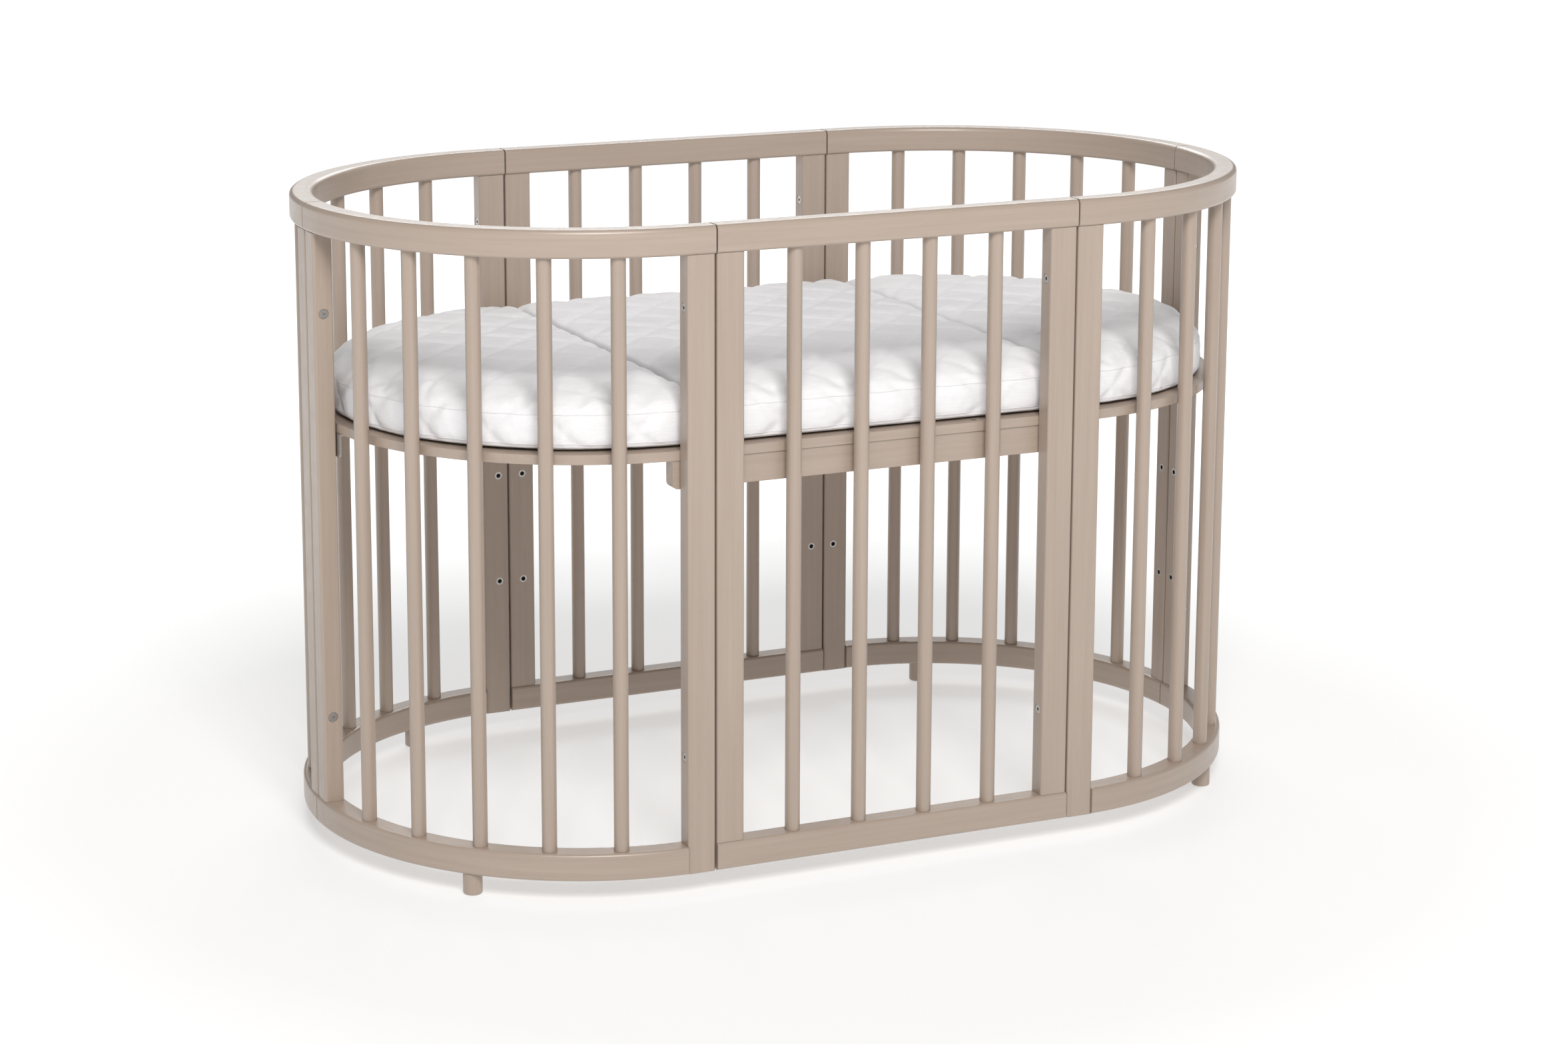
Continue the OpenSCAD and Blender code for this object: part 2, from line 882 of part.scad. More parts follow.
module connector_nuts()
    color(steel) {
        all_four()
            at_side_connectors()
                connector_nut(side_grip);
        for (x_side = [-1, 1])
            place(x_side, 1)
                at_end_connectors()
                    connector_nut(end_grip);
    }

module dowel()
    translate([0, 0, -dowel_length / 2])
        cylinder(d = dowel_d, h = dowel_length);

module post_dowels()
    color(bare_wood)
        all_four() {
            for (z = [post_z, top_z])
                translate([0, 0, z]) {
                    at_side_post()
                        dowel_pair(side_post_width)
                            dowel();
                    at_end_post()
                        dowel_pair(end_post_width, true)
                            dowel();
                }
            translate([0, 0, top_z])
                at_joint_post()
                    dowel_pair(side_post_width)
                        dowel();
            at_butt_dowels()
                dowel();
        }

// A short turned foot, its tenon up into the bottom rail
module foot(angle)
    color(wood)
        translate(arc_point(angle)) {
            rotate_extrude() {
                square([foot_d / 2 - foot_rounding, foot_height]);
                translate([0, foot_rounding])
                    square([foot_d / 2, foot_height - foot_rounding]);
                translate([foot_d / 2 - foot_rounding, foot_rounding])
                    circle(foot_rounding);
            }
            translate([0, 0, foot_height - 1])
                cylinder(d = foot_tenon_d, h = foot_tenon_length + 1);
        }

module front_left_foot() place(-1, -1) foot(front_foot_angle);
module front_right_foot() place(1, -1) foot(front_foot_angle);
module back_left_foot() place(-1, 1) foot(back_foot_angle);
module back_right_foot() place(1, 1) foot(back_foot_angle);

module mattress_left_core() place(-1, 1) mattress_filling(mattress_end_start, half_length);
module mattress_left_cover() place(-1, 1) mattress_shell(mattress_end_start, half_length);
module mattress_middle_core() mattress_filling(-mattress_middle_end, mattress_middle_end);
module mattress_middle_cover() mattress_shell(-mattress_middle_end, mattress_middle_end);
module mattress_right_core() place(1, 1) mattress_filling(mattress_end_start, half_length);
module mattress_right_cover() place(1, 1) mattress_shell(mattress_end_start, half_length);

front_left_top_rail();
front_right_top_rail();
back_left_top_rail();
back_right_top_rail();
front_left_bottom_rail();
front_right_bottom_rail();
back_left_bottom_rail();
back_right_bottom_rail();
front_left_joint_post();
front_right_joint_post();
back_left_joint_post();
back_right_joint_post();
front_left_end_post();
front_right_end_post();
back_left_end_post();
back_right_end_post();
front_left_spindles();
front_right_spindles();
back_left_spindles();
back_right_spindles();
front_side_top_rail();
back_side_top_rail();
front_side_bottom_rail();
back_side_bottom_rail();
front_side_left_post();
front_side_right_post();
back_side_left_post();
back_side_right_post();
front_side_spindles();
back_side_spindles();
left_base_board();
centre_base_board();
right_base_board();
front_base_beam();
back_base_beam();
left_end_bracket();
right_end_bracket();
base_bolts();
base_screws();
side_post_inserts();
end_post_inserts();
connector_bolts();
connector_nuts();
post_dowels();
front_left_foot();
front_right_foot();
back_left_foot();
back_right_foot();
mattress_left_core();
mattress_left_cover();
mattress_middle_core();
mattress_middle_cover();
mattress_right_core();
mattress_right_cover();
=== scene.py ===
"""Oval baby crib: lacquered beech frame, quilted mattress in three pieces. Metres, +Z up."""

import math

import bmesh
import bpy
import numpy as np
from mathutils import Matrix, Vector, noise
from mathutils.bvhtree import BVHTree


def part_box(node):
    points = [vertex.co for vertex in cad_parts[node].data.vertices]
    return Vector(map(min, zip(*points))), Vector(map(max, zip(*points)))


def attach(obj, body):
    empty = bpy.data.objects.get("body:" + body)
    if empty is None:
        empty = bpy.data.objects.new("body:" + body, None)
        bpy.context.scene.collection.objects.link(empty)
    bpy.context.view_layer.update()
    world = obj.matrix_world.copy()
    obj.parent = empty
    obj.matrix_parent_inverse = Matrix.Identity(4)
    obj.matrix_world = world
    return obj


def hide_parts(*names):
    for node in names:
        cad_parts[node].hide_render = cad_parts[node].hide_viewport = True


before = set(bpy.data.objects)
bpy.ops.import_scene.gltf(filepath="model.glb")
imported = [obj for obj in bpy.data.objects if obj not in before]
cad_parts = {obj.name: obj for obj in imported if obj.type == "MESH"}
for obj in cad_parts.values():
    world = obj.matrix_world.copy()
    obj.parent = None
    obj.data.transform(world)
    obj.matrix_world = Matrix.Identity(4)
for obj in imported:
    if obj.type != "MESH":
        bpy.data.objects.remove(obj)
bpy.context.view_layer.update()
scene = bpy.context.scene
MM = 0.001

# ---------- Sizes read from the frame ----------

side_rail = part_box("back_side_top_rail")
HALF_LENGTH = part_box("back_right_top_rail")[1].x
HALF_WIDTH = side_rail[1].y
ARC_X = HALF_LENGTH - HALF_WIDTH                        # centre of the round ends
RAIL_MIDDLE = (side_rail[0].y + side_rail[1].y) / 2
MATTRESS_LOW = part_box("mattress_middle_cover")[0].z
MATTRESS_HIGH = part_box("mattress_middle_cover")[1].z
MATTRESS_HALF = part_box("mattress_middle_cover")[1].y    # from the middle line to the side
MIDDLE_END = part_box("mattress_middle_cover")[1].x
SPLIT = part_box("mattress_right_cover")[0].x             # where the right piece begins


# ---------- Node graph helpers ----------

class Graph:
    """A material's node tree, built with short calls. Most of its methods return a socket."""

    def __init__(self, name):
        self.material = bpy.data.materials.new(name)
        self.material.use_nodes = True
        self.tree = self.material.node_tree
        self.tree.nodes.clear()
        self.shader = self.tree.nodes.new("ShaderNodeBsdfPrincipled")
        output = self.tree.nodes.new("ShaderNodeOutputMaterial")
        self.tree.links.new(self.shader.outputs["BSDF"], output.inputs["Surface"])

    def put(self, socket, value):
        if isinstance(value, bpy.types.NodeSocket):
            self.tree.links.new(value, socket)
        else:
            socket.default_value = value

    def node(self, kind, out=0, inputs=None, **settings):
        node = self.tree.nodes.new("ShaderNode" + kind)
        for key, value in settings.items():
            setattr(node, key, value)
        for key, value in (inputs or {}).items():
            self.put(node.inputs[key], value)
        return node.outputs[out]

    def math(self, operation, a, b=0.0):
        return self.node("Math", inputs={0: a, 1: b}, operation=operation)

    def place(self):
        return self.node("TexCoord", "Object")

    def split(self, vector):
        node = self.tree.nodes.new("ShaderNodeSeparateXYZ")
        self.put(node.inputs[0], vector)
        return node.outputs

    def join(self, x, y, z):
        return self.node("CombineXYZ", inputs={0: x, 1: y, 2: z})

    def scaled(self, vector, scale):
        return self.node("VectorMath", inputs={0: vector, 1: scale}, operation="MULTIPLY")

    def noise(self, vector, scale, detail=3.0, roughness=0.5):
        return self.node("TexNoise", "Fac", {
            "Vector": vector, "Scale": scale, "Detail": detail, "Roughness": roughness})

    def ramp(self, value, low, high, to_low=0.0, to_high=1.0):
        return self.node("MapRange", "Result", {
            "Value": value, "From Min": low, "From Max": high, "To Min": to_low, "To Max": to_high})

    def mix(self, factor, a, b):
        """Mixes two colours. Sockets 6, 7 and 2 are the colour ones of the Mix node."""
        node = self.tree.nodes.new("ShaderNodeMix")
        node.data_type = "RGBA"
        self.put(node.inputs[0], factor)
        self.put(node.inputs[6], a)
        self.put(node.inputs[7], b)
        return node.outputs[2]

    def bump(self, height, distance, strength=1.0, normal=None):
        inputs = {"Height": height, "Distance": distance, "Strength": strength}
        if normal is not None:
            inputs["Normal"] = normal
        return self.node("Bump", 0, inputs)

    def shade(self, **values):
        for key, value in values.items():
            self.put(self.shader.inputs[key.replace("_", " ")], value)


def rgb(r, g, b):
    return (r, g, b, 1.0)


# ---------- Lacquered wood ----------

LACQUER = rgb(0.404, 0.323, 0.263)
LACQUER_DARK = rgb(0.356, 0.281, 0.227)
LACQUER_LIGHT = rgb(0.437, 0.354, 0.292)
LACQUER_PORE = rgb(0.33, 0.26, 0.21)
EASED_EDGE = 0.9 * MM
GRAIN_STEP = 0.37                                       # between the grain of one piece and the next


def along_axis(graph, axis):
    """Coordinates with the grain along the third axis."""
    x, y, z = graph.split(graph.place())
    return {"x": graph.join(y, z, x), "y": graph.join(x, z, y), "z": graph.join(x, y, z)}[axis]


def along_arc(graph, side):
    """Coordinates with the grain round a curved rail: radius, height, run."""
    x, y, z = graph.split(graph.place())
    x = graph.math("SUBTRACT", x, side * ARC_X)
    run = graph.math("MULTIPLY", graph.math("ARCTAN2", y, x), RAIL_MIDDLE)
    radius = graph.math("SQRT", graph.math(
        "ADD", graph.math("MULTIPLY", x, x), graph.math("MULTIPLY", y, y)))
    return graph.join(radius, z, run)


def lacquer(name, coordinates, shift):
    """Taupe satin lacquer on beech: soft grain streaks, short pores and eased edges.

    The noise scales are features per metre, fine across the grain and long along it.
    """
    graph = Graph(name)
    place = coordinates(graph)
    place = graph.node("VectorMath", inputs={0: place, 1: (shift, shift * 0.7, shift * 1.9)},
                       operation="ADD")
    streak = graph.noise(graph.scaled(place, (150.0, 150.0, 4.5)), 1.0, 4.0, 0.55)
    broad = graph.noise(graph.scaled(place, (26.0, 26.0, 1.6)), 1.0, 2.0, 0.5)
    pores = graph.noise(graph.scaled(place, (900.0, 900.0, 60.0)), 1.0, 1.0, 0.5)
    pores = graph.ramp(pores, 0.30, 0.42, 1.0, 0.0)
    colour = graph.mix(graph.ramp(streak, 0.30, 0.70), LACQUER_DARK, LACQUER_LIGHT)
    colour = graph.mix(0.45, colour, LACQUER)
    colour = graph.mix(graph.ramp(broad, 0.25, 0.75, 0.0, 0.35), colour, LACQUER_DARK)
    colour = graph.mix(graph.math("MULTIPLY", pores, 0.16), colour, LACQUER_PORE)
    height = graph.math("ADD", graph.math("MULTIPLY", streak, 0.6),
                        graph.math("MULTIPLY", pores, -0.5))
    eased = graph.tree.nodes.new("ShaderNodeBevel")
    eased.samples = 4
    eased.inputs["Radius"].default_value = EASED_EDGE
    normal = graph.bump(height, 0.12 * MM, 0.35, eased.outputs[0])
    rough = graph.ramp(graph.noise(place, 38.0, 3.0, 0.6), 0.3, 0.7, 0.34, 0.44)
    graph.shade(Base_Color=colour, Roughness=rough, Normal=normal, Coat_Weight=0.35,
                Coat_Roughness=0.24, Coat_Normal=normal)
    graph.shader.inputs["IOR"].default_value = 1.5
    return graph.material


def grain_of(node_name):
    """The function that gives a node's coordinates with the grain along the third axis."""
    if "spindles" in node_name or "post" in node_name or "foot" in node_name:
        return lambda g: along_axis(g, "z")
    if "side_" in node_name or "board" in node_name or "beam" in node_name:
        return lambda g: along_axis(g, "x")
    return lambda g: along_arc(g, -1 if "left" in node_name else 1)


# ---------- Steel, bare wood, foam ----------

def steel(name):
    """Zinc-bright steel with small dull patches."""
    graph = Graph(name)
    place = graph.place()
    wear = graph.noise(place, 900.0, 3.0, 0.6)
    fine = graph.noise(place, 5200.0, 2.0, 0.5)
    tint = graph.mix(graph.ramp(wear, 0.3, 0.7), rgb(0.60, 0.59, 0.57), rgb(0.42, 0.41, 0.40))
    graph.shade(Base_Color=tint, Metallic=1.0,
                Roughness=graph.ramp(wear, 0.3, 0.7, 0.24, 0.44),
                Normal=graph.bump(fine, 0.03 * MM, 0.3))
    return graph.material


def bare_beech(name):
    """Unfinished dowels, their grain upright."""
    graph = Graph(name)
    place = graph.scaled(along_axis(graph, "z"), (240.0, 240.0, 12.0))
    grain = graph.noise(place, 1.0, 4.0, 0.6)
    colour = graph.mix(graph.ramp(grain, 0.3, 0.7), rgb(0.62, 0.44, 0.26), rgb(0.80, 0.62, 0.42))
    graph.shade(Base_Color=colour, Roughness=0.7, Normal=graph.bump(grain, 0.1 * MM, 0.4))
    return graph.material


def foam(name):
    """Open-celled foam."""
    graph = Graph(name)
    cells = graph.node("TexVoronoi", "Distance", {"Vector": graph.place(), "Scale": 700.0})
    colour = graph.mix(graph.ramp(cells, 0.0, 0.6), rgb(0.70, 0.64, 0.48), rgb(0.90, 0.86, 0.72))
    graph.shade(Base_Color=colour, Roughness=0.95, Normal=graph.bump(cells, 0.3 * MM, 0.6))
    return graph.material


# ---------- Mattress cover ----------

WEAVE_PITCH = 0.9 * MM                                  # between two threads of the cloth
THREAD_TONE = 0.88                                      # of the sewing thread against the cover


def cotton(name, tone=1.0):
    """White brushed cotton with a fine weave, faint slubs and a soft sheen."""
    graph = Graph(name)
    place = graph.place()
    x, y, z = graph.split(place)
    wave = 2.0 * math.pi / WEAVE_PITCH
    weft = graph.math("SINE", graph.math("MULTIPLY", graph.math("ADD", x, z), wave))
    warp = graph.math("SINE", graph.math("MULTIPLY", graph.math("ADD", y, z), wave))
    weave = graph.math("MULTIPLY", weft, warp)
    slub = graph.noise(graph.scaled(place, (40.0, 420.0, 420.0)), 1.0, 4.0, 0.65)
    cloud = graph.noise(place, 14.0, 3.0, 0.55)
    fuzz = graph.noise(place, 1300.0, 2.0, 0.6)
    white = rgb(0.87 * tone, 0.865 * tone, 0.88 * tone)
    shade = rgb(0.81 * tone, 0.805 * tone, 0.825 * tone)
    colour = graph.mix(graph.ramp(slub, 0.3, 0.7), shade, white)
    colour = graph.mix(graph.ramp(cloud, 0.3, 0.7, 0.0, 0.25), colour, shade)
    height = graph.math("ADD", graph.math("MULTIPLY", weave, 0.25),
                        graph.math("ADD", graph.math("MULTIPLY", slub, 1.3),
                                   graph.math("MULTIPLY", fuzz, 0.6)))
    graph.shade(Base_Color=colour, Roughness=0.92, Normal=graph.bump(height, 0.25 * MM, 0.55))
    graph.shader.inputs["Sheen Weight"].default_value = 0.25
    graph.shader.inputs["Sheen Roughness"].default_value = 0.5
    graph.shader.inputs["Specular IOR Level"].default_value = 0.25
    return graph.material


# ---------- Mattress form ----------

OVAL_POINTS = 200


def oval_ring(half, inset):
    """Points of an oval, `inset` metres inside one that is `half` metres wide each way."""
    radius = max(half - inset, 0.0)
    points = []
    for k in range(OVAL_POINTS):
        angle = 2.0 * math.pi * (k + 0.5) / OVAL_POINTS
        points.append((math.copysign(ARC_X, math.cos(angle)) + radius * math.cos(angle),
                       radius * math.sin(angle)))
    return points


CROWN = MATTRESS_HIGH - MATTRESS_LOW + 1.0 * MM         # height in the middle
SHOULDER_LOW = 34.0 * MM                                # where the side starts to turn in
SHOULDER_REACH = 85.0 * MM                              # how far in the soft shoulder reaches
SHOULDER_POWER = 2.6                                    # above 2 makes the shoulder fuller
FOOT_ROUND = 7.0 * MM                                   # rounding of the lower edge
UNDER_STEPS = 8
FOOT_STEPS = 6
SHOULDER_STEPS = 15
SHOULDER_EASE = 2.2                                     # above 1 puts more rings near the outline
TOP_STEPS = 5


def top_height(inset):
    """Height of the top of the mattress at a distance in from its outline."""
    across = min(max(inset / SHOULDER_REACH, 0.0), 1.0)
    rise = (1.0 - (1.0 - across) ** SHOULDER_POWER) ** (1.0 / SHOULDER_POWER)
    return SHOULDER_LOW + (CROWN - SHOULDER_LOW) * rise


def profile():
    """(inset, height) from the middle of the underside round the edge to the middle of the top."""
    points = [(MATTRESS_HALF * (1 - k / UNDER_STEPS), 0.0) for k in range(UNDER_STEPS)]
    for k in range(FOOT_STEPS + 1):
        angle = math.pi / 2 * k / FOOT_STEPS
        points.append((FOOT_ROUND * (1 - math.sin(angle)), FOOT_ROUND * (1 - math.cos(angle))))
    points.append((0.0, (FOOT_ROUND + SHOULDER_LOW) / 2))
    for k in range(SHOULDER_STEPS + 1):
        inset = SHOULDER_REACH * (k / SHOULDER_STEPS) ** SHOULDER_EASE
        points.append((inset, top_height(inset)))
    points += [(SHOULDER_REACH + (MATTRESS_HALF - SHOULDER_REACH) * k / TOP_STEPS, CROWN)
               for k in range(1, TOP_STEPS + 1)]
    return points


def mattress_blank(name, shrink):
    """The whole mattress as one closed crowned form, before it is cut and filled."""
    mesh = bmesh.new()
    rings = []
    for inset, height in profile():
        z = MATTRESS_LOW + shrink + height * (1.0 - 2.0 * shrink / CROWN)
        rings.append([mesh.verts.new((x, y, z)) for x, y in
                      oval_ring(MATTRESS_HALF - shrink, inset)])
    for below, above in zip(rings, rings[1:]):
        for k in range(OVAL_POINTS):
            n = (k + 1) % OVAL_POINTS
            mesh.faces.new((below[k], below[n], above[n], above[k]))
    mesh.faces.new(reversed(rings[0]))
    mesh.faces.new(rings[-1])
    bmesh.ops.remove_doubles(mesh, verts=mesh.verts, dist=0.2 * MM)
    bmesh.ops.recalc_face_normals(mesh, faces=mesh.faces)
    data = bpy.data.meshes.new(name)
    mesh.to_mesh(data)
    mesh.free()
    return data


# ---------- Mesh helpers ----------

TINY = 1e-9                                             # keeps a division by a length safe


def add_object(name, data):
    piece = bpy.data.objects.new(name, data)
    scene.collection.objects.link(piece)
    return piece


def smooth(piece):
    piece.data.shade_smooth()


def apply_modifiers(piece):
    graph = bpy.context.evaluated_depsgraph_get()
    data = bpy.data.meshes.new_from_object(piece.evaluated_get(graph))
    piece.modifiers.clear()
    piece.data = data


def cut_between(piece, from_x, to_x):
    """Keeps the stretch between two planes across the mattress, closed with flat ends."""
    mesh = bmesh.new()
    mesh.from_mesh(piece.data)
    for x, sign in ((from_x, -1.0), (to_x, 1.0)):
        if x is None:
            continue
        everything = mesh.verts[:] + mesh.edges[:] + mesh.faces[:]
        cut = bmesh.ops.bisect_plane(mesh, geom=everything, plane_co=(x, 0, 0),
                                     plane_no=(sign, 0, 0), clear_outer=True)
        edges = [e for e in cut["geom_cut"] if isinstance(e, bmesh.types.BMEdge)]
        bmesh.ops.holes_fill(mesh, edges=edges, sides=0)
    bmesh.ops.recalc_face_normals(mesh, faces=mesh.faces)
    mesh.to_mesh(piece.data)
    mesh.free()


def co_of(data):
    co = np.zeros(len(data.vertices) * 3)
    data.vertices.foreach_get("co", co)
    return co.reshape(-1, 3)


def set_co(data, co):
    data.vertices.foreach_set("co", co.ravel())
    data.update()


def remesh(piece, voxel):
    modifier = piece.modifiers.new("voxels", "REMESH")
    modifier.mode = "VOXEL"
    modifier.voxel_size = voxel
    modifier.use_smooth_shade = True
    apply_modifiers(piece)


def vertex_normals(data):
    normals = np.zeros(len(data.vertices) * 3)
    data.vertices.foreach_get("normal", normals)
    return normals.reshape(-1, 3)


# ---------- Filling ----------

VOXEL = 6.5 * MM
SHRINK = 2.0 * MM                                       # the form starts smaller, because it swells
FILL_FRAMES = 18
FILL_MOST = 4.0 * MM                                    # how far a point may move


def fill(piece):
    """Swells the piece as cloth under pressure, and caps how far each point may move."""
    start = co_of(piece.data)
    cloth = piece.modifiers.new("filling", "CLOTH").settings
    cloth.quality = 5
    cloth.mass = 0.25
    cloth.use_pressure = True
    cloth.uniform_pressure_force = 4.0
    cloth.tension_stiffness = 12.0
    cloth.compression_stiffness = 12.0
    cloth.shear_stiffness = 5.0
    cloth.bending_stiffness = 0.4
    cloth.effector_weights.gravity = 0.0
    piece.modifiers["filling"].collision_settings.use_collision = False
    for number in range(1, FILL_FRAMES + 1):
        scene.frame_set(number)
    apply_modifiers(piece)
    scene.frame_set(1)
    end = co_of(piece.data)
    move = end - start
    far = np.linalg.norm(move, axis=1, keepdims=True)
    limit = FILL_MOST * np.tanh(far / FILL_MOST) / np.maximum(far, TINY)
    set_co(piece.data, start + move * np.minimum(limit, 1.0))


# ---------- Quilting, wrinkles and joints ----------

QUILT_PITCH = 66.0 * MM                                 # between the rows of stitching
QUILT_DEPTH = 3.0 * MM
QUILT_WIDTH = 7.0 * MM
QUILT_PUFF = 0.10                                       # share of the depth that puffs out between
TURN_INNER = 18.0 * MM                                  # from the outline, where the rows turn down
TURN_WIDTH = 10.0 * MM
COARSE_WRINKLE = (0.9 * MM, 38.0)                       # height, noise scale per metre
FINE_WRINKLE = (0.6 * MM, 110.0)
JOINT_ROUND = 9.0 * MM                                  # how far in the joint's soft edge reaches
JOINT_SINK = 1.0 * MM                                   # along the middle of the mattress
JOINT_EDGE_SINK = 5.0 * MM                              # more at its two sides
JOINT_STRETCH = 25.0 * MM                               # what is drawn out to close the joint
JOINT_NEAR = 20.0 * MM                                  # the flat ends lie within this of the joint
PROUD = 1.0 * MM                                        # what the cover may stand out


def quilting(x, y, z):
    """How deep the stitched rows pull the cover in: diamonds on the top and round the side."""
    inside = MATTRESS_HALF - np.hypot(np.maximum(np.abs(x) - ARC_X, 0.0), y)
    run = np.where(np.abs(x) > ARC_X,
                   np.arctan2(np.abs(x) - ARC_X, np.abs(y)) * MATTRESS_HALF + ARC_X,
                   np.abs(x)) * np.sign(x)
    drop = MATTRESS_HIGH - z
    side = np.clip((TURN_INNER - inside) / TURN_WIDTH, 0.0, 1.0)
    pull = np.zeros_like(x)
    for sign in (-1.0, 1.0):
        flat = (x + sign * y) / math.sqrt(2.0)
        upright = (run + sign * drop) / math.sqrt(2.0)
        for share, place in ((1.0 - side, flat), (side, upright)):
            off = np.abs((place / QUILT_PITCH + 0.5) % 1.0 - 0.5) * QUILT_PITCH
            pull = np.maximum(pull, share * np.exp(-(off / QUILT_WIDTH) ** 2))
            pull -= share * QUILT_PUFF * np.cos(2.0 * math.pi * place / QUILT_PITCH + math.pi)
    return pull


def wrinkle(co, size, seed):
    """Heights of a still noise at each point, shifted by the seed."""
    height, scale = size
    offset = Vector((seed * 7.3, seed * 3.1, seed * 5.7))
    return height * np.array([noise.noise(Vector(p) * scale + offset) for p in co])


def close_joint(piece, from_x, to_x):
    """Draws the cut ends out to meet the neighbouring piece."""
    co = co_of(piece.data)
    for plane, end in ((from_x, co[:, 0].min()), (to_x, co[:, 0].max())):
        if plane is None:
            continue
        near = np.clip(1.0 - np.abs(co[:, 0] - end) / JOINT_STRETCH, 0.0, 1.0)
        co[:, 0] += (plane - end) * near
    set_co(piece.data, co)


def quilt_cover(piece):
    """Quilting and wrinkles on all but the underside and the flat ends at the joints."""
    co = co_of(piece.data)
    normals = vertex_normals(piece.data)
    x, y, z = co.T
    upper = np.clip((normals[:, 2] + 0.75) / 0.5, 0.0, 1.0)
    near_joint = np.abs(np.abs(x) - SPLIT) < JOINT_NEAR
    free = np.clip(1.0 - np.abs(normals[:, 0]) * near_joint, 0.0, 1.0)
    depth = QUILT_DEPTH * quilting(x, y, z)
    depth += wrinkle(co, COARSE_WRINKLE, 1.0) + wrinkle(co, FINE_WRINKLE, 2.0)
    set_co(piece.data, co - normals * (depth * upper * free)[:, None])


def round_joint(co, side):
    """A soft sunk edge at the joint on one side, deeper towards the long sides."""
    near = np.exp(-(np.abs(side * co[:, 0] - SPLIT) / JOINT_ROUND) ** 1.3)
    high_part = np.clip((co[:, 2] - MATTRESS_LOW) / CROWN, 0.0, 1.0) ** 2
    edge = np.clip(2.0 * np.abs(co[:, 1]) / MATTRESS_HALF - 1.0, 0.0, 1.0)
    co[:, 2] -= (JOINT_SINK + JOINT_EDGE_SINK * edge) * near * high_part


def keep_inside(co):
    """No point stands out of the mattress outline by more than PROUD, or sinks into the base."""
    over_x = np.sign(co[:, 0]) * np.maximum(np.abs(co[:, 0]) - ARC_X, 0.0)
    out = np.stack([over_x, co[:, 1]], 1)
    reach = np.maximum(np.linalg.norm(out, axis=1, keepdims=True), TINY)
    co[:, :2] -= out / reach * np.maximum(reach - (MATTRESS_HALF + PROUD), 0.0)
    co[:, 2] = np.maximum(co[:, 2], MATTRESS_LOW)


def finish_cover(piece, from_x, to_x, sides):
    """Joins, quilts and wrinkles the cover, and keeps it within its space."""
    close_joint(piece, from_x, to_x)
    quilt_cover(piece)
    co = co_of(piece.data)
    for side in sides:
        round_joint(co, side)
    keep_inside(co)
    co[:, 0] = np.clip(co[:, 0], from_x, to_x)
    set_co(piece.data, co)


# ---------- Seams ----------

# For each piece: where it begins and ends along X, and the sides that have a joint
PIECES = {
    "left": (None, -SPLIT, [-1]),
    "middle": (-MIDDLE_END, MIDDLE_END, [-1, 1]),
    "right": (SPLIT, None, [1]),
}
SEAMS = {                                               # height above the base, radius
    "zip": (45.0 * MM, 0.6 * MM),
    "hem_upper": (9.5 * MM, 0.6 * MM),
    "hem_lower": (6.0 * MM, 0.6 * MM),
}
STITCH = 2.0 * MM                                       # between the thick and thin of a stitch
STITCH_THIN = 0.65                                      # of the radius
SEAM_SIDES = 6
SEAM_END = 3.0 * MM                                     # short of the joints
SEAM_LEAST = 4                                          # points in the shortest stretch that is sewn
PROBE_START = 50.0 * MM                                 # outside the outline, to find the cover
PROBE_LENGTH = 120.0 * MM


def outline_at(run):
    """Point and outward direction on the outline, `run` metres round it from the front middle."""
    arc = math.pi * MATTRESS_HALF
    total = 4 * ARC_X + 2 * arc
    run %= total
    side = 1.0
    if run > total / 2:
        run -= total / 2
        side = -1.0
    if run < ARC_X:
        point, out = (run, -MATTRESS_HALF), (0.0, -1.0)
    elif run < ARC_X + arc:
        angle = -math.pi / 2 + (run - ARC_X) / MATTRESS_HALF
        out = (math.cos(angle), math.sin(angle))
        point = (ARC_X + MATTRESS_HALF * out[0], MATTRESS_HALF * out[1])
    else:
        point, out = (2 * ARC_X + arc - run, MATTRESS_HALF), (0.0, 1.0)
    return (Vector((side * point[0], side * point[1], 0.0)),
            Vector((side * out[0], side * out[1], 0.0)))


def seam_path(which, cover, height):
    """Stretches of points where the seam lies on the cover's side."""
    tree = BVHTree.FromObject(cover, bpy.context.evaluated_depsgraph_get())
    from_x, to_x, _ = PIECES[which]
    total = 4 * ARC_X + 2 * math.pi * MATTRESS_HALF
    begin = ARC_X + math.pi * MATTRESS_HALF / 2         # at an end that the piece doesn't reach
    if which == "right":
        begin += total / 2
    stretches, points = [], []
    for k in range(int(total / STITCH) + 1):
        base, out = outline_at(begin + k * STITCH)
        inside = ((from_x is None or base.x > from_x + SEAM_END)
                  and (to_x is None or base.x < to_x - SEAM_END))
        hit = None
        if inside:
            origin = base + out * PROBE_START + Vector((0.0, 0.0, MATTRESS_LOW + height))
            hit = tree.ray_cast(origin, -out, PROBE_LENGTH)[0]
        if hit is not None:
            points.append((hit, out))
        elif points:
            stretches.append(points)
            points = []
    return stretches + ([points] if points else [])


